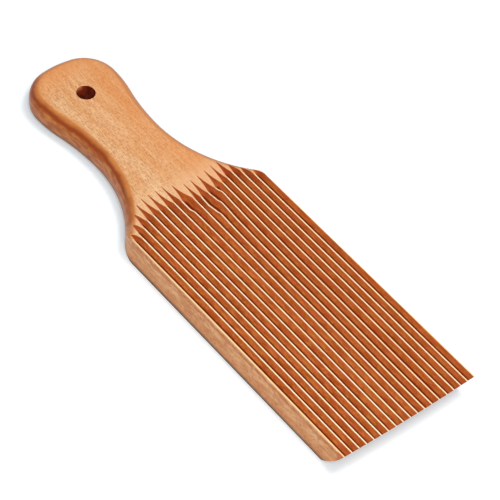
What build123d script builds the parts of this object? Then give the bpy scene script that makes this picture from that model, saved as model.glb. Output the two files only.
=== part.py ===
from build123d import *
import math
import os

# A flat kitchen board with a ridged blade and a handle, cut from one piece of beech.
# Millimetres. +Z is up, the board lies flat on Z = 0.
# +X runs along the board, from the hanging end of the handle to the thin front end.
# The origin is under the middle of the board's box.

os.makedirs("parts", exist_ok=True)

# The blank
blade_length = 123.1  # from the front end to where the flare would meet the side
handle_length = 86.4  # from there to the end of the paddle
board_width = 62.0
board_thickness = 12.2

# The handle in plan
neck_width = 29.9  # the narrowest place
neck_from_end = 47.9  # from the end of the paddle
paddle_width = 37.9  # the widest place of the handle
paddle_from_end = 14.8  # from the end of the paddle
paddle_end_radius = 40.5
neck_bend_share = 0.63  # how much of the way from neck to paddle curves inwards
shoulder_radius = 12.5
handle_rounding = 4.8  # the routed edge, above and below

# The hanging hole
hole_diameter = 7.4
hole_from_end = 20.7
hole_edge = 0.4  # the broken edge at each mouth

# The front end, undercut so that the ridges end in a thin lip
nose_length = 9.7
nose_crown = 1.0  # how far its curve bulges from a straight bevel
front_bow = 0.45  # how far the middle of the front end stands ahead of its corners

# The ridges
groove_count = 18
ridge_top_width = 0.45
groove_depth = 1.8
groove_floor_width = 0.3
groove_length = 131.9  # from the front end to the points of the grooves
run_out_length = 8.5  # where a groove rises to its point

under_edge_ease = 0.6  # the sanded lower edges of the blade
overrun = 8.0  # how far cutters and the routed blank reach past the board

# Places that follow from the sizes above
board_length = blade_length + handle_length
tip_x = -board_length / 2
front_x = board_length / 2
shoulder_x = front_x - blade_length
neck_x = tip_x + neck_from_end
paddle_x = tip_x + paddle_from_end
hole_x = tip_x + hole_from_end
half_width = board_width / 2
half_neck = neck_width / 2
half_paddle = paddle_width / 2


def flare_radius():
    """Radius of the arc that leaves the neck along X and reaches the shoulder."""
    run = shoulder_x - neck_x
    rise = half_width - half_neck
    return (run**2 + rise**2) / (2 * rise)


def paddle_side():
    """Half of the paddle, from the neck round to the middle of its end."""
    neck = Vector(neck_x, half_neck)
    widest = Vector(paddle_x, half_paddle)
    bend = neck + (widest - neck) * neck_bend_share
    inner = TangentArc(neck, bend, tangent=(-1, 0))
    outer = TangentArc(bend, widest, tangent=inner % 1)
    # The corner's radius is the one that meets the arc of the end without a kink.
    reach = paddle_end_radius * paddle_from_end * 2 - paddle_from_end**2 - half_paddle**2
    corner_radius = reach / (2 * (paddle_end_radius - half_paddle))
    corner_centre = Vector(paddle_x, half_paddle - corner_radius)
    end_centre = Vector(tip_x + paddle_end_radius, 0)
    meet = end_centre + (corner_centre - end_centre).normalized() * paddle_end_radius
    corner = TangentArc(widest, meet, tangent=(-1, 0))
    end = TangentArc(meet, Vector(tip_x, 0), tangent=corner % 1)
    return [inner, outer, corner, end]


def plan(shoulder_rise, rest):
    """The closed outline: a flare that climbs shoulder_rise from the neck, then straight runs."""
    radius = flare_radius()
    angle = math.acos(1 - shoulder_rise / radius)
    top = Vector(neck_x + radius * math.sin(angle), half_neck + shoulder_rise)
    flare = TangentArc(Vector(neck_x, half_neck), top, tangent=(1, 0))
    side = Line(top, Vector(rest, top.Y))
    front = Line(Vector(rest, top.Y), Vector(rest, 0))
    half = [*paddle_side(), flare, side, front]
    other_half = [edge.mirror(Plane.XZ) for edge in half]
    return make_face([*half, *other_half])


def blank():
    """The sawn board: its outline, with its shoulders rounded off and its lower edges eased."""
    body = extrude(plan(half_width - half_neck, front_x), board_thickness)
    uprights = body.edges().filter_by(Axis.Z)
    shoulders = [
        edge
        for edge in uprights
        if abs(edge.center().X - shoulder_x) < shoulder_radius / 2
        and abs(edge.center().Y) > half_neck
    ]
    body = fillet(shoulders, shoulder_radius)
    lower = body.edges().filter_by(Axis.X).group_by(Axis.Z)[0]
    return fillet(lower, under_edge_ease)


def routed_handle():
    """The rounding of the handle. Its flare runs on past the sides, so the rounding fades out there."""
    rise = half_width - half_neck + overrun
    body = extrude(plan(rise, front_x + overrun), board_thickness)
    levels = body.edges().filter_by(lambda edge: abs(edge.tangent_at(0).Z) < 0.5)
    around = [
        edge
        for edge in levels
        if edge.bounding_box().size.Z < board_thickness / 2 and edge.geom_type == GeomType.CIRCLE
    ]
    return fillet(around, handle_rounding)


def nose_cutter():
    """What is planed away under the front end, on a wide arc that bows the end in plan."""
    lip = Vector(front_x, 0, board_thickness)
    heel = Vector(front_x - nose_length, 0, 0)
    ahead_x = front_x + overrun
    curve = SagittaArc((lip.X, lip.Z), (heel.X, heel.Z), nose_crown)
    around = Polyline(
        (heel.X, heel.Z),
        (heel.X, -overrun),
        (ahead_x, -overrun),
        (ahead_x, board_thickness + overrun),
        (lip.X, board_thickness + overrun),
        (lip.X, lip.Z),
    )
    outline = Plane.XZ * make_face([curve, around])
    bow_radius = (half_width**2 + front_bow**2) / (2 * front_bow)
    pivot = Axis((front_x - bow_radius, 0, 0), (0, 0, 1))
    half_turn = math.degrees((half_width + overrun) / bow_radius)
    return revolve(outline.rotate(pivot, -half_turn), pivot, 2 * half_turn)


def groove_cutter(y):
    """One groove: it ramps down from its point and then runs level out of the front end."""
    pitch = board_width / groove_count
    half_floor = groove_floor_width / 2
    half_mouth = (pitch - ridge_top_width) / 2
    slope = (half_mouth - half_floor) / groove_depth
    height = groove_depth + overrun
    half_top = half_floor + slope * height
    section = Polyline(
        (-half_floor, 0),
        (half_floor, 0),
        (half_top, height),
        (-half_top, height),
        close=True,
    )
    floor_z = board_thickness - groove_depth
    ramp_x = front_x - groove_length + run_out_length
    face = Plane((ramp_x, y, floor_z), x_dir=(0, 1, 0), z_dir=(1, 0, 0)) * make_face(section)
    level = extrude(face, front_x + overrun - ramp_x)
    ramp = Vector(-run_out_length, 0, groove_depth)
    rising = extrude(face, ramp.length, dir=ramp)
    return level + rising


def ridged_board():
    board = blank() & routed_handle()
    board -= nose_cutter()
    bore = Pos(hole_x, 0, board_thickness / 2) * Cylinder(hole_diameter / 2, board_thickness + overrun)
    board -= bore
    mouths = [
        edge
        for edge in board.edges().filter_by(GeomType.CIRCLE)
        if abs(edge.radius - hole_diameter / 2) < hole_edge / 2
    ]
    board = chamfer(mouths, hole_edge)
    pitch = board_width / groove_count
    for k in range(groove_count):
        board -= groove_cutter(-half_width + (k + 0.5) * pitch)
    return board


board = ridged_board()
board.label = "ridged_board"
board.color = Color(0.80, 0.58, 0.38)
export_step(board, "parts/ridged_board.step")
print("solids", len(board.solids()), "volume", round(board.volume), "size", board.bounding_box().size)
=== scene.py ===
import math

import bpy
from mathutils import Matrix, Vector


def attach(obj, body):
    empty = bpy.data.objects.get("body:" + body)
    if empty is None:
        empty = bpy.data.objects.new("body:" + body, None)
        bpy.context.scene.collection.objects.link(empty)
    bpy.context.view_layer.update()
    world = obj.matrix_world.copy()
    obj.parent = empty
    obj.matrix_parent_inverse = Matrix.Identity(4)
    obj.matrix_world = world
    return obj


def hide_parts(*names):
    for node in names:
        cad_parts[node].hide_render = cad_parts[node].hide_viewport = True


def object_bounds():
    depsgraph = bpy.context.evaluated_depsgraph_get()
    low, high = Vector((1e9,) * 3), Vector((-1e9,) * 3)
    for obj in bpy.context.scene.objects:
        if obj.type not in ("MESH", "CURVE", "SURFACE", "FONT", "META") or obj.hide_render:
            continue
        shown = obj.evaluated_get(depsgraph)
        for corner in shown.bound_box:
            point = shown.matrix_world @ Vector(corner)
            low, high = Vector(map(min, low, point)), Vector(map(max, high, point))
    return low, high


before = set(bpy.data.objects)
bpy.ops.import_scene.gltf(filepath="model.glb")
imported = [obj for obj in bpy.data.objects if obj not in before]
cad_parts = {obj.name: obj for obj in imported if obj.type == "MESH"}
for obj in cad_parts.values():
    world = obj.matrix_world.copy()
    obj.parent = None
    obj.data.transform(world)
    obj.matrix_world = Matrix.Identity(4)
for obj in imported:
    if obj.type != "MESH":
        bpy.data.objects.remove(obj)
low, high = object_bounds()

# A flat beech board with a ridged blade and a rounded handle, in metres
MM = 0.001

# The board's sizes, as the solid has them, but for lower edges that are eased a little less
blade_length = 123.1 * MM
neck_width = 29.9 * MM
neck_from_end = 47.9 * MM
paddle_width = 37.9 * MM
paddle_from_end = 14.8 * MM
paddle_end_radius = 40.5 * MM
neck_bend_share = 0.63
shoulder_radius = 12.5 * MM
handle_rounding = 4.8 * MM
under_edge_ease = 0.35 * MM
hole_diameter = 7.4 * MM
hole_from_end = 20.7 * MM
hole_edge = 0.4 * MM
nose_length = 9.7 * MM
nose_crown = 1.0 * MM
front_bow = 0.45 * MM
overrun = 8.0 * MM  # how far the tools reach past the board

# The mesh
arc_step = 0.9 * MM  # the length of one straight piece of an arc in plan
rounding_steps = 12
ease_steps = 4
hole_sides = 72
hairline = 0.002 * MM  # points nearer to each other than this are joined
same_place = 0.01 * MM  # how nearly a point has to lie on a face or a side to count as on it
smooth_up_to = math.radians(28)  # a wider angle between two faces shows as an edge

# The ridges
groove_count = 18
groove_depth = 1.7 * MM
crest_width = 0.66 * MM
floor_width = 0.24 * MM
crest_relief = 0.02 * MM  # how far the planed crests lie under the face of the handle
lip_over_face = 0.5 * MM  # how far the cutting sheet stands over the face before a groove's point
lip_rise_share = 0.25  # how soon it stands that high, as a share of the run-out
lead_in = 1.0 * MM  # how far the sheet starts before the first point
fine_length = 26 * MM  # how much of the sheet, from its start, has fine rows
run_out_length = 8.8 * MM
run_out_bend = 1.7  # above 1 a groove starts as a hairline and then opens
# Where a groove's floor and its point lie between its two crests, for the near and the far grooves
valley_near_share = 0.37
valley_far_share = 0.46
point_near_share = 0.35
point_far_share = 0.46
last_near_groove = 7  # counted from 0 at the near side
grooves_between = 3  # from the last near groove to the first far one
point_arch = 10 * MM  # how much nearer to the front the outermost grooves start

# Where each groove starts, as a distance from the front end
groove_starts = [
    start * MM
    for start in (
        126.0, 129.2, 131.6, 132.8, 133.2, 133.3, 133.4, 134.0, 132.1,
        130.4, 130.5, 131.0, 131.4, 132.2, 134.4, 133.5, 130.9, 127.6,
    )
]
# How far each crest strays from even spacing: near the handle, half way and at the front end
crest_shift_shares = [
    (0.04, 0.13, 0.11),
    (0.02, 0.14, 0.10),
    (0.01, 0.13, 0.07),
    (0.00, 0.10, 0.03),
    (-0.02, 0.07, 0.01),
    (-0.05, 0.04, -0.04),
    (-0.07, 0.04, -0.07),
    (-0.05, 0.06, -0.04),
    (0.03, 0.08, -0.06),
    (0.15, 0.05, -0.08),
    (0.13, 0.01, -0.11),
    (0.20, 0.03, -0.15),
    (0.20, 0.02, -0.13),
    (0.24, 0.02, -0.10),
    (0.14, 0.08, 0.00),
    (0.10, 0.06, 0.00),
    (0.04, 0.00, -0.03),
    (-0.03, -0.03, -0.06),
    (0.00, -0.02, -0.06),
]

# Where the cutter slipped near the points: for a crest, places along X in mm and its stray there
cutter_slips = {
    8: ((-20.0, -0.20), (-14.5, -0.20), (-11.8, 0.0), (-8.0, 0.03)),
    10: ((-19.0, 0.0), (-12.0, -0.10), (-8.0, 0.05), (-6.0, 0.20), (0.0, 0.13)),
    11: ((-17.0, 0.0), (-13.0, 0.10), (-10.0, 0.30), (0.0, 0.15)),
    12: ((-17.0, 0.10), (-14.0, 0.35), (-5.0, 0.25), (3.0, 0.15)),
}
slip_settling = 8 * MM  # how soon a crest is back on its even course after the last place

# Places that follow from the sizes above
top_z = high.z
tip_x = low.x
front_x = high.x
half_width = high.y
half_neck = neck_width / 2
half_paddle = paddle_width / 2
shoulder_x = front_x - blade_length
neck_x = tip_x + neck_from_end
paddle_x = tip_x + paddle_from_end
hole_x = tip_x + hole_from_end
pitch = 2 * half_width / groove_count
half_crest = crest_width / 2
half_floor = floor_width / 2


# The curve of a screen: straight near black, and then a power
top_level = 255
straight_up_to = 0.04
straight_slope = 12.92
curve_offset = 0.055
curve_power = 2.4


def light_level(level):
    share = level / top_level
    if share < straight_up_to:
        return share / straight_slope
    return ((share + curve_offset) / (1 + curve_offset)) ** curve_power


def seen_as(red, green, blue):
    """A colour in screen levels from 0 to 255, turned into light levels."""
    return (light_level(red), light_level(green), light_level(blue), 1)


# Colours of the oiled beech
face_pale = seen_as(247, 196, 145)
face_tan = seen_as(236, 171, 113)
face_orange = seen_as(234, 142, 70)
face_root = seen_as(255, 210, 164)
face_fleck = seen_as(180, 98, 46)
routed_orange = seen_as(213, 130, 64)
# painted shade: the dark brown on the near side of the routed rounding
routed_shade_brown = seen_as(148, 60, 4)
routed_wall = seen_as(174, 85, 22)
routed_patch = seen_as(204, 124, 62)
# painted shade where the lower edge meets the floor
lower_edge_shade = seen_as(66, 48, 36)
side_pale = seen_as(238, 175, 118)
side_tan = seen_as(214, 137, 74)
side_line = seen_as(200, 104, 20)
side_spot = seen_as(196, 108, 58)
side_low = seen_as(220, 138, 76)
side_front_red = seen_as(206, 104, 36)
wall_orange = seen_as(219, 120, 60)
wall_brown = seen_as(184, 86, 34)
wall_gold = seen_as(206, 136, 56)
wall_red = seen_as(204, 84, 54)
wall_top = seen_as(240, 158, 100)
wall_burnt = seen_as(150, 54, 22)
wall_fleck = seen_as(150, 62, 18)
# painted shade at the bottom of the grooves
groove_bottom_shade = seen_as(110, 34, 6)
# the pale of the bare crests with a painted highlight
crest_highlight_pale = seen_as(255, 241, 208)
crest_straw = seen_as(255, 230, 188)
crest_warm = seen_as(255, 223, 178)
crest_outer = seen_as(255, 213, 158)
crest_fleck = seen_as(226, 180, 130)
end_brown = seen_as(160, 70, 28)
end_tan = seen_as(146, 86, 44)
end_deep = seen_as(112, 56, 26)
end_dark = seen_as(84, 36, 14)
bore_brown = seen_as(150, 48, 18)
bore_dark = seen_as(98, 28, 9)
# painted light on the lit side of the bore's mouth
bore_lit = seen_as(214, 128, 80)


class Finish:
    """One finish of the wood: a shader, and short ways to add the nodes that feed it."""

    def __init__(self, name):
        self.material = bpy.data.materials.new(name)
        self.material.use_nodes = True
        self.nodes = self.material.node_tree.nodes
        self.links = self.material.node_tree.links
        self.nodes.clear()
        self.shader = self.add("ShaderNodeBsdfPrincipled")
        out = self.add("ShaderNodeOutputMaterial")
        self.links.new(self.shader.outputs[0], out.inputs["Surface"])
        self.place = self.add("ShaderNodeTexCoord").outputs["Object"]
        apart = self.add("ShaderNodeSeparateXYZ")
        self.links.new(self.place, apart.inputs[0])
        self.along, self.across, self.height = apart.outputs

    def add(self, kind, **settings):
        node = self.nodes.new(kind)
        for setting, value in settings.items():
            setattr(node, setting, value)
        return node

    def plug(self, value, socket):
        """Links an output to a socket, or writes a plain value on it."""
        if isinstance(value, bpy.types.NodeSocket):
            self.links.new(value, socket)
        else:
            socket.default_value = value

    def reckon(self, operation, first, second=0.0):
        node = self.add("ShaderNodeMath", operation=operation)
        self.plug(first, node.inputs[0])
        self.plug(second, node.inputs[1])
        return node.outputs[0]

    def times(self, first, second):
        return self.reckon("MULTIPLY", first, second)

    def fade(self, value, start, end, low_share=0.0, high_share=1.0):
        """Goes softly from low_share to high_share while value goes from start to end."""
        node = self.add("ShaderNodeMapRange", interpolation_type="SMOOTHSTEP")
        self.plug(value, node.inputs["Value"])
        node.inputs["From Min"].default_value = start
        node.inputs["From Max"].default_value = end
        node.inputs["To Min"].default_value = low_share
        node.inputs["To Max"].default_value = high_share
        return node.outputs["Result"]

    def blend(self, share, first, second):
        """The first colour where share is 0, and the second where it is 1."""
        node = self.add("ShaderNodeMix", data_type="RGBA")
        self.plug(share, node.inputs[0])
        self.plug(first, node.inputs[6])
        self.plug(second, node.inputs[7])
        return node.outputs[2]

    def steps(self, length, width, depth):
        """The board's own coordinates, counted in lengths, widths and depths along X, Y and Z."""
        node = self.add("ShaderNodeMapping")
        node.inputs["Scale"].default_value = (1 / length, 1 / width, 1 / depth)
        self.links.new(self.place, node.inputs["Vector"])
        return node.outputs[0]

    def cloud(self, length, width, depth, detail=2.0):
        """Soft noise whose spots have these sizes along X, Y and Z."""
        node = self.add("ShaderNodeTexNoise")
        self.links.new(self.steps(length, width, depth), node.inputs["Vector"])
        node.inputs["Scale"].default_value = 1.0
        node.inputs["Detail"].default_value = detail
        node.inputs["Roughness"].default_value = 0.55
        return node.outputs["Fac"]

    def dashes(self, spacing, size):
        """The short rays of beech: 0 between the dashes and up to 1 in each, as chance makes it."""
        steps = self.steps(*spacing)
        cells = self.add("ShaderNodeTexVoronoi", feature="F1", voronoi_dimensions="3D")
        self.links.new(steps, cells.inputs["Vector"])
        cells.inputs["Scale"].default_value = 1.0
        away = self.add("ShaderNodeVectorMath", operation="SUBTRACT")
        self.links.new(steps, away.inputs[0])
        self.links.new(cells.outputs["Position"], away.inputs[1])
        drawn = self.add("ShaderNodeVectorMath", operation="MULTIPLY")
        self.links.new(away.outputs[0], drawn.inputs[0])
        drawn.inputs[1].default_value = [2 * gap / part for gap, part in zip(spacing, size)]
        reach = self.add("ShaderNodeVectorMath", operation="LENGTH")
        self.links.new(drawn.outputs[0], reach.inputs[0])
        chance = self.add("ShaderNodeSeparateColor")
        self.links.new(cells.outputs["Color"], chance.inputs[0])
        inside = self.fade(reach.outputs["Value"], 1.15, 0.6)
        strength = self.fade(chance.outputs[0], 0.05, 0.85)
        return self.times(inside, strength)

    def surface(self, colour, relief, relief_depth, roughness, gloss):
        """Feeds the shader. The relief gives the bump, and its pits are rougher than its tops."""
        self.plug(colour, self.shader.inputs["Base Color"])
        self.shader.inputs["Specular IOR Level"].default_value = gloss
        low_rough, high_rough = roughness
        self.plug(self.fade(relief, 1.0, 0.0, low_rough, high_rough), self.shader.inputs["Roughness"])
        bump = self.add("ShaderNodeBump")
        bump.inputs["Strength"].default_value = 1.0
        bump.inputs["Distance"].default_value = relief_depth
        self.links.new(relief, bump.inputs["Height"])
        self.links.new(bump.outputs[0], self.shader.inputs["Normal"])


def grain(finish, pale, deep, fleck, fleck_strength, streak_length, patch_size):
    """The colour and the relief of plain beech, both solid in the wood."""
    streak_share = 0.58
    patch_share = 0.42
    patch_stretch = 3.5  # how much longer than wide a patch is
    ray_depth_share = 0.5  # of the depth of the pores
    streaks = finish.cloud(streak_length, 1.5 * MM, 3.0 * MM, detail=3.0)
    patches = finish.cloud(patch_stretch * patch_size, patch_size, patch_size)
    streak_tone = finish.times(streaks, streak_share)
    patch_tone = finish.times(patches, patch_share)
    tone = finish.reckon("ADD", streak_tone, patch_tone)
    colour = finish.blend(finish.fade(tone, 0.39, 0.61), pale, deep)
    rays = finish.dashes(
        spacing=(1.8 * MM, 0.48 * MM, 2.2 * MM), size=(2.0 * MM, 0.30 * MM, 3.0 * MM)
    )
    fine_rays = finish.dashes(
        spacing=(1.2 * MM, 0.36 * MM, 1.4 * MM), size=(1.2 * MM, 0.22 * MM, 1.8 * MM)
    )
    shown = finish.times(finish.reckon("MAXIMUM", rays, fine_rays), fleck_strength)
    colour = finish.blend(shown, colour, fleck)
    pores = finish.cloud(1.6 * MM, 0.10 * MM, 0.14 * MM, detail=1.0)
    pore_relief = finish.fade(pores, 0.30, 0.55)
    relief = finish.reckon("SUBTRACT", pore_relief, finish.times(rays, ray_depth_share))
    return colour, relief


def sanded_beech():
    """The handle's faces, its routed edge and the sides of the blade, sanded and oiled."""
    finish = Finish("sanded_beech")
    colour, relief = grain(
        finish, face_pale, face_tan, face_fleck,
        fleck_strength=0.75, streak_length=30 * MM, patch_size=8 * MM,
    )
    # Paler towards the near side, which is a painted sheen, more orange towards the far side and the
    # hanging end, and paler at the roots of the ridges
    near_sheen_far_orange = finish.fade(finish.across, -12 * MM, 16 * MM, high_share=0.55)
    tip_orange = finish.fade(finish.along, -84 * MM, -103 * MM, high_share=0.75)
    colour = finish.blend(finish.reckon("MAXIMUM", near_sheen_far_orange, tip_orange), colour, face_orange)
    at_root = finish.fade(finish.along, -34 * MM, -24 * MM, high_share=0.4)
    colour = finish.blend(at_root, colour, face_root)
    # Below the face: how deep a place lies under the nearer of the two faces
    from_middle = finish.reckon("ABSOLUTE", finish.reckon("SUBTRACT", finish.height, top_z / 2))
    under_face = finish.reckon("SUBTRACT", top_z / 2, from_middle)
    on_blade = finish.fade(finish.along, -23 * MM, -16 * MM)
    on_handle = finish.reckon("SUBTRACT", 1.0, on_blade)
    # The rays lie flat on the sides, so they look like soft patches and spots there
    side_patches = finish.cloud(5.0 * MM, 2.0 * MM, 1.6 * MM, detail=3.0)
    side_colour = finish.blend(finish.fade(side_patches, 0.38, 0.62), side_pale, side_tan)
    low_share = finish.fade(finish.height, 8.0 * MM, 4.0 * MM, high_share=0.6)
    side_colour = finish.blend(low_share, side_colour, side_low)
    side_spots = finish.cloud(1.6 * MM, 1.2 * MM, 0.9 * MM, detail=3.0)
    spot_share = finish.fade(side_spots, 0.48, 0.66, high_share=0.65)
    side_colour = finish.blend(spot_share, side_colour, side_spot)
    # A darker broken line runs just under the upper edge of the side
    line_top = finish.fade(finish.height, top_z - 0.3 * MM, top_z - 1.1 * MM)
    line_foot = finish.fade(finish.height, top_z - 2.8 * MM, top_z - 1.6 * MM)
    line_share = finish.times(line_top, line_foot)
    line_spots = finish.cloud(2.2 * MM, 1.0 * MM, 1.2 * MM)
    broken = finish.fade(line_spots, 0.40, 0.60, low_share=0.35)
    line_share = finish.times(line_share, broken)
    side_colour = finish.blend(line_share, side_colour, side_line)
    on_side = finish.fade(under_face, 0.05 * MM, 0.5 * MM)
    colour = finish.blend(finish.times(on_side, on_blade), colour, side_colour)
    # The routed rounding goes from orange to dark brown with depth along a wavy line; the brown is
    # painted shade, strongest on the near side, and the sawn wall under it is a little paler
    waves = finish.cloud(7 * MM, 5 * MM, 5 * MM, detail=3.0)
    wave = 0.28 * MM
    wavy_depth = finish.reckon("ADD", under_face, finish.fade(waves, 0.32, 0.68, -wave, wave))
    shaded_near_side = finish.fade(finish.across, -3 * MM, -14 * MM, low_share=0.25)
    routed_shade_share = finish.times(finish.fade(wavy_depth, 0.15 * MM, 1.6 * MM), shaded_near_side)
    before_blade = finish.fade(finish.along, -27 * MM, -38 * MM, low_share=0.65)
    routed_shade_share = finish.times(routed_shade_share, before_blade)
    routed_colour = finish.blend(routed_shade_share, routed_orange, routed_shade_brown)
    wall_share = finish.fade(wavy_depth, 1.8 * MM, 2.9 * MM)
    wall_colour = finish.blend(finish.fade(side_patches, 0.38, 0.68), routed_wall, routed_patch)
    handle_colour = finish.blend(wall_share, routed_colour, wall_colour)
    rounded = finish.times(finish.fade(under_face, 0.0, 0.45 * MM), on_handle)
    colour = finish.blend(rounded, colour, handle_colour)
    # Painted shade darkens the lower edge, where the board meets the floor: a wide band on the
    # handle, a thin line on the blade
    band_top = finish.fade(finish.height, 5.2 * MM, 2.8 * MM, high_share=0.85)
    band = finish.times(band_top, on_handle)
    band = finish.times(band, finish.fade(finish.height, 0.3 * MM, 1.6 * MM))
    foot_top = finish.fade(finish.height, 2.6 * MM, 0.2 * MM, high_share=0.92)
    foot = finish.times(foot_top, on_blade)
    foot = finish.times(foot, finish.fade(finish.height, 0.0, 0.08 * MM))
    contact_shade = finish.reckon("MAXIMUM", band, foot)
    colour = finish.blend(contact_shade, colour, lower_edge_shade)
    # Darker red-brown over the last few millimetres before the front end
    soaked = finish.fade(finish.along, front_x - 3.9 * MM, front_x - 2.7 * MM)
    colour = finish.blend(soaked, colour, side_front_red)
    finish.surface(colour, relief, relief_depth=0.02 * MM, roughness=(0.42, 0.62), gloss=0.2)
    # The oil gives a pale sheen where the wood is seen at a flat angle
    finish.shader.inputs["Coat Weight"].default_value = 0.3
    finish.shader.inputs["Coat Roughness"].default_value = 0.3
    finish.shader.inputs["Coat IOR"].default_value = 1.3
    return finish.material


def cut_beech():
    """The walls of the grooves: fresh off the cutter, with painted shade darkening them towards the
    bottom.
    """
    finish = Finish("groove_beech")
    colour, relief = grain(
        finish, wall_orange, wall_brown, wall_fleck,
        fleck_strength=0.55, streak_length=8 * MM, patch_size=1.2 * MM,
    )
    spots = finish.cloud(2.6 * MM, 1.1 * MM, 1.1 * MM)
    colour = finish.blend(finish.fade(spots, 0.52, 0.70, high_share=0.7), colour, wall_gold)
    reds = finish.cloud(1.9 * MM, 1.2 * MM, 1.2 * MM)
    colour = finish.blend(finish.fade(reds, 0.53, 0.70, high_share=0.6), colour, wall_red)
    to_far = finish.fade(finish.across, -6 * MM, 20 * MM, high_share=0.3)
    colour = finish.blend(to_far, colour, wall_brown)
    # A darker line just under each crest, and the paler edge above it
    line_low = finish.fade(finish.height, top_z - 0.80 * MM, top_z - 0.50 * MM)
    line_high = finish.fade(finish.height, top_z - 0.16 * MM, top_z - 0.34 * MM, high_share=0.4)
    colour = finish.blend(finish.times(line_low, line_high), colour, wall_brown)
    upper = finish.fade(finish.height, top_z - 0.20 * MM, top_z - 0.03 * MM, high_share=0.25)
    colour = finish.blend(upper, colour, wall_top)
    # The cutter burnt the wood where it went in, at the points of the grooves
    arch_bend = 4.0  # the arch of the points is flat in the middle and steep at the sides
    side_share = finish.reckon("ABSOLUTE", finish.reckon("DIVIDE", finish.across, half_width))
    arch = finish.times(finish.reckon("POWER", side_share, arch_bend), point_arch)
    past_point = finish.reckon("SUBTRACT", finish.along, arch)
    burnt = finish.fade(past_point, front_x - 118 * MM, front_x - 128 * MM, high_share=0.5)
    in_middle = finish.fade(finish.reckon("ABSOLUTE", finish.across), 15 * MM, 9 * MM)
    near_points = finish.fade(finish.along, -2 * MM, -19 * MM, high_share=0.45)
    scorched = finish.times(in_middle, near_points)
    colour = finish.blend(finish.reckon("MAXIMUM", burnt, scorched), colour, wall_burnt)
    # Painted shade at the bottom of the grooves, which reaches a little higher in the near grooves
    sunk = finish.fade(finish.across, 4 * MM, -14 * MM, high_share=0.10 * MM)
    shade_height = finish.reckon("SUBTRACT", finish.height, sunk)
    bottom = finish.fade(shade_height, top_z - groove_depth * 0.76, top_z - groove_depth * 0.98)
    colour = finish.blend(bottom, colour, groove_bottom_shade)
    soaked = finish.fade(finish.along, front_x - 5 * MM, front_x - 1 * MM, high_share=0.35)
    colour = finish.blend(soaked, colour, end_brown)
    finish.surface(colour, relief, relief_depth=0.03 * MM, roughness=(0.5, 0.7), gloss=0.05)
    return finish.material


def crest_beech():
    """The narrow tops between the grooves, planed bare and pale, and paler still as a painted
    highlight.
    """
    finish = Finish("crest_beech")
    colour, relief = grain(
        finish, crest_highlight_pale, crest_straw, crest_fleck,
        fleck_strength=0.3, streak_length=12 * MM, patch_size=3 * MM,
    )
    to_far = finish.fade(finish.across, -12 * MM, 22 * MM, high_share=0.8)
    colour = finish.blend(to_far, colour, crest_warm)
    off_middle = finish.reckon("ABSOLUTE", finish.across)
    outermost = finish.fade(off_middle, half_width - 1.7 * MM, half_width - 1.1 * MM)
    colour = finish.blend(outermost, colour, crest_outer)
    finish.surface(colour, relief, relief_depth=0.01 * MM, roughness=(0.4, 0.55), gloss=0.3)
    return finish.material


def end_grain_beech():
    """The planed front end, cut across the grain: open pores instead of streaks."""
    finish = Finish("end_grain_beech")
    rings = finish.cloud(40 * MM, 20 * MM, 1.3 * MM, detail=3.0)
    colour = finish.blend(finish.fade(rings, 0.35, 0.65), end_tan, end_deep)
    pores = finish.cloud(6 * MM, 0.22 * MM, 0.22 * MM, detail=1.0)
    colour = finish.blend(finish.fade(pores, 0.52, 0.68, high_share=0.8), colour, end_dark)
    soaked = finish.fade(finish.height, top_z - 4.5 * MM, top_z - 1.0 * MM, high_share=0.8)
    colour = finish.blend(soaked, colour, end_deep)
    finish.surface(colour, pores, relief_depth=0.03 * MM, roughness=(0.55, 0.75), gloss=0.15)
    return finish.material


def bore_beech():
    """The drilled wall of the hanging hole, dark red-brown and partly painted shade."""
    finish = Finish("bore_beech")
    scorch = finish.cloud(1.5 * MM, 1.5 * MM, 2.5 * MM, detail=3.0)
    colour = finish.blend(finish.fade(scorch, 0.35, 0.65), bore_brown, bore_dark)
    # Painted light on the near side of the mouth, towards the tip, where the lamps light the wall
    slant = 0.5
    at_mouth = finish.fade(finish.height, top_z - 3.0 * MM, top_z - 0.6 * MM)
    slanted = finish.reckon("ADD", finish.along, finish.times(finish.across, slant))
    lit_side = finish.fade(slanted, hole_x - 2.7 * MM, hole_x - 3.7 * MM)
    colour = finish.blend(finish.times(at_mouth, lit_side), colour, bore_lit)
    drill_turns = finish.cloud(3 * MM, 3 * MM, 0.25 * MM, detail=1.0)
    finish.surface(colour, drill_turns, relief_depth=0.03 * MM, roughness=(0.5, 0.7), gloss=0.15)
    return finish.material


def deselect():
    if bpy.context.object and bpy.context.object.mode != "OBJECT":
        bpy.ops.object.mode_set(mode="OBJECT")
    bpy.ops.object.select_all(action="DESELECT")


def pick(piece):
    """Makes a piece the only selected object."""
    deselect()
    piece.select_set(True)
    bpy.context.view_layer.objects.active = piece


def place_in_mesh(piece):
    """Moves an object's place, turn and size into its mesh."""
    pick(piece)
    bpy.ops.object.transform_apply(location=True, rotation=True, scale=True)


def turn_outwards():
    """Turns all faces of the mesh in edit mode outwards."""
    bpy.ops.mesh.select_all(action="SELECT")
    bpy.ops.mesh.normals_make_consistent(inside=False)


def round_edges(size, steps):
    """Rounds the selected edges."""
    bpy.ops.mesh.bevel(
        offset=size, offset_type="OFFSET", segments=steps, profile=0.5, affect="EDGES",
        clamp_overlap=False,
    )


def first_point(name, place):
    """A new object that holds one selected point, left in edit mode."""
    deselect()
    bpy.ops.mesh.primitive_plane_add(size=MM, location=place)
    piece = bpy.context.object
    piece.name = name
    place_in_mesh(piece)
    bpy.ops.object.mode_set(mode="EDIT")
    bpy.ops.mesh.select_all(action="SELECT")
    bpy.ops.mesh.merge(type="CENTER")
    return piece


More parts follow.
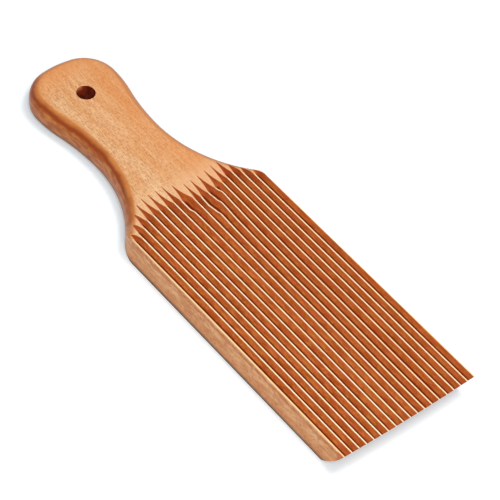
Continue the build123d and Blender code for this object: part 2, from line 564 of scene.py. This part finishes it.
def arc_to(start, heading, end):
    """Spins the selected point from start to end on the arc that leaves along heading."""
    chord = end - start
    side = Vector((-heading.y, heading.x))
    lean = chord.dot(side)
    radius = chord.length_squared / (2 * lean)
    centre = start + side * radius
    turn = 2 * math.atan2(lean, chord.dot(heading))
    steps = max(2, round(abs(turn * radius) / arc_step))
    bpy.ops.mesh.spin(
        steps=steps, angle=-turn, center=(centre.x, centre.y, 0), axis=(0, 0, 1)
    )
    return Matrix.Rotation(turn, 2) @ heading


def line_to(start, end):
    step = end - start
    bpy.ops.mesh.extrude_vertices_move(TRANSFORM_OT_translate={"value": (step.x, step.y, 0)})


def plan_board(name, rest_x, shoulder_rise=None):
    """The closed outline of the board as one flat face, drawn as one half and its mirror.

    The flare climbs by shoulder_rise from the neck, or else it ends in the rounded shoulder.
    """
    along = Vector((1, 0))
    tip = Vector((tip_x, 0))
    reach = paddle_end_radius * paddle_from_end * 2 - paddle_from_end**2 - half_paddle**2
    corner_radius = reach / (2 * (paddle_end_radius - half_paddle))
    corner_centre = Vector((paddle_x, half_paddle - corner_radius))
    end_centre = tip + along * paddle_end_radius
    meet = end_centre + (corner_centre - end_centre).normalized() * paddle_end_radius
    widest = Vector((paddle_x, half_paddle))
    neck = Vector((neck_x, half_neck))
    bend = neck.lerp(widest, neck_bend_share)
    rise = half_width - half_neck
    run = shoulder_x - neck_x
    flare_radius = (run**2 + rise**2) / (2 * rise)
    flare_centre = Vector((neck_x, half_neck + flare_radius))

    piece = first_point(name, (tip_x, 0, 0))
    heading = arc_to(tip, Vector((0, 1)), meet)
    arc_to(meet, heading, widest)
    heading = arc_to(widest, along, bend)
    arc_to(bend, heading, neck)
    if shoulder_rise is None:
        centre_y = half_width - shoulder_radius
        gap = flare_centre.y - centre_y
        centre_x = neck_x + math.sqrt((flare_radius + shoulder_radius) ** 2 - gap**2)
        towards = (Vector((centre_x, centre_y)) - flare_centre).normalized()
        flare_end = flare_centre + towards * flare_radius
        side_start = Vector((centre_x, half_width))
        heading = arc_to(neck, along, flare_end)
        arc_to(flare_end, heading, side_start)
    else:
        angle = math.acos(1 - shoulder_rise / flare_radius)
        side_start = Vector((neck_x + flare_radius * math.sin(angle), half_neck + shoulder_rise))
        arc_to(neck, along, side_start)
    front = Vector((rest_x, side_start.y))
    line_to(side_start, front)
    line_to(front, Vector((rest_x, 0)))
    bpy.ops.object.mode_set(mode="OBJECT")
    mirror = piece.modifiers.new("other half", "MIRROR")
    mirror.use_axis = (False, True, False)
    mirror.merge_threshold = same_place
    bpy.ops.object.modifier_apply(modifier=mirror.name)
    bpy.ops.object.mode_set(mode="EDIT")
    bpy.ops.mesh.select_all(action="SELECT")
    bpy.ops.mesh.edge_face_add()
    return piece


def raise_plan(bottom, top):
    """Extrudes the selected flat face into a slab from bottom to top."""
    bpy.ops.transform.translate(value=(0, 0, bottom))
    bpy.ops.mesh.extrude_region_move(TRANSFORM_OT_translate={"value": (0, 0, top - bottom)})
    turn_outwards()


def select_edges(piece, wanted):
    """Selects the edges whose two ends, a and b, make wanted(a, b) true."""
    bpy.ops.object.mode_set(mode="EDIT")
    bpy.ops.mesh.select_mode(type="EDGE")
    bpy.ops.mesh.select_all(action="DESELECT")
    bpy.ops.object.mode_set(mode="OBJECT")
    points = piece.data.vertices
    for edge in piece.data.edges:
        a, b = (points[i].co for i in edge.vertices)
        edge.select = wanted(a, b)
    bpy.ops.object.mode_set(mode="EDIT")


def cut(piece, tool, operation="DIFFERENCE"):
    """Applies a boolean with a tool body, and removes the tool."""
    pick(piece)
    step = piece.modifiers.new("cut", "BOOLEAN")
    step.operation = operation
    step.solver = "EXACT"
    step.material_mode = "TRANSFER"
    step.object = tool
    bpy.ops.object.modifier_apply(modifier=step.name)
    bpy.data.objects.remove(tool)


def routed_blank():
    """The sawn outline, with the rounding of the handle that fades out at the shoulders."""
    sawn = plan_board("sawn", front_x)
    raise_plan(-overrun, top_z + overrun)
    flare_rise = half_width - half_neck + overrun
    routed = plan_board("ridged_board_beech", front_x + overrun, flare_rise)
    raise_plan(0, top_z)
    last_round_x = front_x + overrun / 2
    side_y = half_width + overrun

    def round_edge(a, b):
        level = abs(a.z - b.z) < same_place
        on_side = min(abs(a.y), abs(b.y)) > side_y - same_place
        at_front = max(a.x, b.x) > last_round_x
        return level and not on_side and not at_front

    select_edges(routed, round_edge)
    round_edges(handle_rounding, rounding_steps)
    turn_outwards()
    bpy.ops.object.mode_set(mode="OBJECT")
    cut(routed, sawn, "INTERSECT")

    def lower_side(a, b):
        at_foot = max(abs(a.z), abs(b.z)) < same_place
        on_side = min(abs(a.y), abs(b.y)) > half_width - same_place
        return at_foot and on_side and abs(a.x - b.x) > overrun

    select_edges(routed, lower_side)
    round_edges(under_edge_ease, ease_steps)
    bpy.ops.object.mode_set(mode="OBJECT")
    return routed


def shaped_sheet(name, rows, columns, place, second_finish=None):
    """A grid with rows along X and columns along Y, whose points go where place(row, column) says.

    Faces in the columns for which second_finish(column) is true take the sheet's second material.
    """
    deselect()
    half_size = 0.5
    bpy.ops.mesh.primitive_grid_add(
        x_subdivisions=rows, y_subdivisions=columns, size=2 * half_size
    )
    sheet = bpy.context.object
    sheet.name = name
    for face in sheet.data.polygons:
        column = int((face.center.y + half_size) * columns)
        face.material_index = int(bool(second_finish and second_finish(column)))
    for point in sheet.data.vertices:
        row = round((point.co.x + half_size) * rows)
        column = round((point.co.y + half_size) * columns)
        point.co = place(row, column)
    return sheet


def thicken(sheet, step):
    """Extrudes the whole sheet by step into a closed body."""
    pick(sheet)
    bpy.ops.object.mode_set(mode="EDIT")
    bpy.ops.mesh.select_mode(type="FACE")
    bpy.ops.mesh.select_all(action="SELECT")
    bpy.ops.mesh.extrude_region_move(TRANSFORM_OT_translate={"value": step})
    turn_outwards()
    bpy.ops.object.mode_set(mode="OBJECT")


def nose_tool():
    """What is planed away under the front end, on a wide arc that bows the end in plan."""
    lip = Vector((front_x, top_z))
    heel = Vector((front_x - nose_length, 0))
    chord = heel - lip
    half_chord = chord.length / 2
    radius = (half_chord**2 + nose_crown**2) / (2 * nose_crown)
    inward = Vector((chord.y, -chord.x)).normalized()
    centre = (lip + heel) / 2 + inward * (radius - nose_crown)
    half_angle = math.asin(half_chord / radius)
    start_angle = math.atan2(lip.y - centre.y, lip.x - centre.x)
    arc_rows = 14
    rows = arc_rows + 2
    columns = 40

    def place(row, column):
        share = (row - 1) / arc_rows
        angle = start_angle - 2 * half_angle * min(max(share, 0), 1)
        x = centre.x + radius * math.cos(angle)
        z = centre.y + radius * math.sin(angle)
        if row == 0:
            z += overrun
        if row == rows:
            z -= overrun
        y = (2 * column / columns - 1) * (half_width + overrun)
        x -= front_bow * (y / half_width) ** 2
        return Vector((x, y, z))

    tool = shaped_sheet("nose_tool", rows, columns, place)
    tool.data.materials.append(end_grain_beech())
    thicken(tool, (2 * overrun, 0, 0))
    return tool


def smooth(share):
    """A share from 0 to 1 with a soft start and end."""
    share = min(max(share, 0.0), 1.0)
    return share * share * (3 - 2 * share)


def slow_stray(crest, x):
    """How far a crest strays from even spacing at x, in shares of the pitch."""
    near, half_way, front = crest_shift_shares[crest]
    start_x = front_x - max(groove_starts)
    middle_x = (start_x + front_x) / 2
    if x < middle_x:
        return near + (half_way - near) * smooth((x - start_x) / (middle_x - start_x))
    return half_way + (front - half_way) * smooth((x - middle_x) / (front_x - middle_x))


def crest_y(crest, x):
    """Where a crest runs at x, with the cutter's slow wander and its slips."""
    shift = slow_stray(crest, x)
    slips = [(place * MM, stray) for place, stray in cutter_slips.get(crest, ())]
    if slips:
        settled_x = slips[-1][0] + slip_settling
        slips.append((settled_x, slow_stray(crest, settled_x)))
        if x < slips[0][0]:
            shift = slips[0][1]
        for (from_x, from_stray), (to_x, to_stray) in zip(slips, slips[1:]):
            if from_x <= x <= to_x:
                shift = from_stray + (to_stray - from_stray) * smooth((x - from_x) / (to_x - from_x))
    return -half_width + (crest + shift) * pitch


def opening(groove, x):
    """How far a groove has opened at x: negative before its point, 1 where it is full."""
    share = (x - front_x + groove_starts[groove]) / run_out_length
    if share <= 0:
        return share
    return min(share, 1.0) ** run_out_bend


def ridge_tool():
    """One sheet with all the grooves, which is pressed into the blade."""
    # The wall of a groove from its mouth to its floor: share of its run, share of its depth
    wall_shares = [(-0.08, 0), (0, 0.03), (0.08, 0.12), (0.5, 0.53), (0.9, 0.94), (1, 1)]
    wall_count = len(wall_shares)
    per_groove = 2 * wall_count
    columns = groove_count * per_groove + 1
    fine_rows = 44
    coarse_rows = 26
    rows = fine_rows + coarse_rows
    start_x = front_x - max(groove_starts) - lead_in
    fine_end_x = start_x + fine_length
    end_x = front_x + overrun

    def row_x(row):
        if row <= fine_rows:
            return start_x + (fine_end_x - start_x) * row / fine_rows
        return fine_end_x + (end_x - fine_end_x) * (row - fine_rows) / coarse_rows

    def in_groove(groove, slot, x):
        near = crest_y(groove, x)
        far = crest_y(groove + 1, x)
        blend = smooth((groove - last_near_groove) / grooves_between)
        valley_share = valley_near_share + (valley_far_share - valley_near_share) * blend
        point_share = point_near_share + (point_far_share - point_near_share) * blend
        opened = opening(groove, x)
        width = max(opened, 0)
        floor_y = near + (far - near) * (point_share + (valley_share - point_share) * smooth(width))
        near_run = (far - near) * valley_share - half_crest - half_floor
        far_run = (far - near) * (1 - valley_share) - half_crest - half_floor
        floor_z = top_z - crest_relief - groove_depth * width
        if opened <= 0:
            floor_z = top_z + lip_over_face * min(-opened / lip_rise_share, 1)
        if slot < wall_count:
            run_share, depth_share = wall_shares[slot]
            y = floor_y - half_floor - near_run * (1 - run_share)
        else:
            run_share, depth_share = wall_shares[per_groove - 1 - slot]
            y = floor_y + half_floor + far_run * (1 - run_share)
        return Vector((x, y, floor_z + groove_depth * (1 - depth_share)))

    def outer_edge(crest, groove, slot, x):
        """An outermost crest reaches as far out from its middle as it does in."""
        inner = in_groove(groove, slot, x)
        return Vector((x, crest_y(crest, x) * 2 - inner.y, inner.z))

    def place(row, column):
        x = row_x(row)
        if column == 0:
            return outer_edge(0, 0, 0, x)
        if column == columns:
            return outer_edge(groove_count, groove_count - 1, per_groove - 1, x)
        groove = (column - 1) // per_groove
        return in_groove(groove, column - 1 - groove * per_groove, x)

    def on_crest(column):
        return (column - 1) % per_groove == per_groove - 1

    tool = shaped_sheet("ridge_tool", rows, columns, place, on_crest)
    tool.data.materials.append(cut_beech())
    tool.data.materials.append(crest_beech())
    thicken(tool, (0, 0, 4 * overrun))
    return tool


def drill_tool():
    deselect()
    bpy.ops.mesh.primitive_cylinder_add(
        vertices=hole_sides,
        radius=hole_diameter / 2,
        depth=top_z + overrun,
        location=(hole_x, 0, top_z / 2),
    )
    tool = bpy.context.object
    place_in_mesh(tool)
    tool.data.materials.append(bore_beech())
    return tool


def break_hole_edges(piece):
    """Rounds the two mouths of the hanging hole."""
    centre = Vector((hole_x, 0))

    def at_mouth(a, b):
        return all(
            abs((Vector(end.xy) - centre).length - hole_diameter / 2) < same_place
            and min(abs(end.z), abs(end.z - top_z)) < same_place
            for end in (a, b)
        )

    select_edges(piece, at_mouth)
    round_edges(hole_edge, ease_steps)
    bpy.ops.object.mode_set(mode="OBJECT")


def tidy_mesh(piece):
    """Closes the hairline gaps that the cuts can leave."""
    pick(piece)
    bpy.ops.object.mode_set(mode="EDIT")
    bpy.ops.mesh.select_mode(type="VERT")
    bpy.ops.mesh.select_all(action="SELECT")
    bpy.ops.mesh.remove_doubles(threshold=hairline)
    bpy.ops.mesh.dissolve_degenerate(threshold=hairline)
    bpy.ops.object.mode_set(mode="OBJECT")


board = routed_blank()
board.data.materials.clear()
board.data.materials.append(sanded_beech())
cut(board, nose_tool())
cut(board, drill_tool())
break_hole_edges(board)
cut(board, ridge_tool())
tidy_mesh(board)
bpy.ops.object.shade_smooth_by_angle(angle=smooth_up_to)
even_shading = board.modifiers.new("even shading", "WEIGHTED_NORMAL")
even_shading.keep_sharp = True
bpy.ops.object.modifier_apply(modifier=even_shading.name)

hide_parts("ridged_board")
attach(board, "root")

# The camera, from the photograph's view of the board
image_size = 500
focal_pixels = 2270.4
camera_turn = math.radians(43.37)
camera_height = math.radians(48.18)
camera_roll = math.radians(9.74)
camera_distance = 845.0 * MM
looked_at = Vector((6.3, 9.8, 0)) * MM
sensor_width = 36  # in millimetres, as the camera wants it
farthest_seen = 10

# The studio: a white surround and floor that the camera sees, and a cooler light from all round
white = (1, 1, 1, 1)
sky_colour = (0.86, 0.94, 1.0, 1)
sky_strength = 0.305
paper_colour = (0.845, 0.885, 0.905, 1)
paper_glow = 0.27
floor_size = 4
floor_gap = 0.02 * MM  # how far the floor lies under the board

# The lamps: place, size, power and colour
lamps = {
    "key": ((0.28, 0.13, 1.05), 0.36, 4.3, (1.0, 0.985, 0.95)),
    "top": ((0.0, 0.0, 1.3), 1.0, 1.3, (1.0, 1.0, 1.0)),
    "front": ((0.62, -0.5, 0.95), 0.5, 7.0, (0.95, 1.0, 1.02)),
}


def make_camera():
    back = Vector((
        math.sin(camera_turn) * math.cos(camera_height),
        -math.cos(camera_turn) * math.cos(camera_height),
        math.sin(camera_height),
    ))
    right = (-back).cross(Vector((0, 0, 1))).normalized()
    up = right.cross(-back)
    rolled_right = right * math.cos(camera_roll) + up * math.sin(camera_roll)
    rolled_up = up * math.cos(camera_roll) - right * math.sin(camera_roll)
    data = bpy.data.cameras.new("camera")
    data.sensor_width = sensor_width
    data.lens = focal_pixels / image_size * sensor_width
    data.clip_end = farthest_seen
    camera = bpy.data.objects.new("camera", data)
    bpy.context.scene.collection.objects.link(camera)
    turn = Matrix((rolled_right, rolled_up, back)).transposed()
    camera.matrix_world = Matrix.Translation(looked_at + back * camera_distance) @ turn.to_4x4()
    bpy.context.scene.camera = camera


def soft_light(name, place, size, power, colour):
    data = bpy.data.lights.new(name, "AREA")
    data.shape = "DISK"
    data.size = size
    data.energy = power
    data.color = colour
    light = bpy.data.objects.new(name, data)
    bpy.context.scene.collection.objects.link(light)
    light.location = place
    light.rotation_euler = (-Vector(place)).to_track_quat("-Z", "Y").to_euler()


def seen_directly(nodes, links):
    """1 where a surface is seen by the camera, in a reflection or through glass, and 0 elsewhere."""
    path = nodes.new("ShaderNodeLightPath")
    seen = path.outputs["Is Camera Ray"]
    for other_way in ("Is Glossy Ray", "Is Transmission Ray"):
        either = nodes.new("ShaderNodeMath")
        either.operation = "MAXIMUM"
        links.new(seen, either.inputs[0])
        links.new(path.outputs[other_way], either.inputs[1])
        seen = either.outputs[0]
    return seen


def make_world():
    world = bpy.data.worlds.new("studio")
    world.use_nodes = True
    nodes, links = world.node_tree.nodes, world.node_tree.links
    nodes.clear()
    sky = nodes.new("ShaderNodeBackground")
    sky.inputs["Color"].default_value = sky_colour
    sky.inputs["Strength"].default_value = sky_strength
    surround = nodes.new("ShaderNodeBackground")
    surround.inputs["Color"].default_value = white
    surround.inputs["Strength"].default_value = 1.0
    mix = nodes.new("ShaderNodeMixShader")
    out = nodes.new("ShaderNodeOutputWorld")
    links.new(seen_directly(nodes, links), mix.inputs[0])
    links.new(sky.outputs[0], mix.inputs[1])
    links.new(surround.outputs[0], mix.inputs[2])
    links.new(mix.outputs[0], out.inputs["Surface"])
    bpy.context.scene.world = world


def make_floor():
    """A sheet of white paper, which glows a little only where it is seen."""
    deselect()
    bpy.ops.mesh.primitive_plane_add(size=floor_size, location=(0, 0, -floor_gap))
    floor = bpy.context.object
    floor.name = "floor"
    material = bpy.data.materials.new("floor_white")
    material.use_nodes = True
    nodes, links = material.node_tree.nodes, material.node_tree.links
    nodes.clear()
    paper = nodes.new("ShaderNodeBsdfDiffuse")
    paper.inputs["Color"].default_value = paper_colour
    glow = nodes.new("ShaderNodeEmission")
    glow.inputs["Color"].default_value = white
    lift = nodes.new("ShaderNodeMath")
    lift.operation = "MULTIPLY"
    lift.inputs[1].default_value = paper_glow
    links.new(seen_directly(nodes, links), lift.inputs[0])
    links.new(lift.outputs[0], glow.inputs["Strength"])
    both = nodes.new("ShaderNodeAddShader")
    out = nodes.new("ShaderNodeOutputMaterial")
    links.new(paper.outputs[0], both.inputs[0])
    links.new(glow.outputs[0], both.inputs[1])
    links.new(both.outputs[0], out.inputs["Surface"])
    floor.data.materials.append(material)


make_camera()
make_world()
make_floor()
for name, (place, size, power, colour) in lamps.items():
    soft_light(name, place, size, power, colour)
bpy.context.scene.view_settings.view_transform = "Standard"
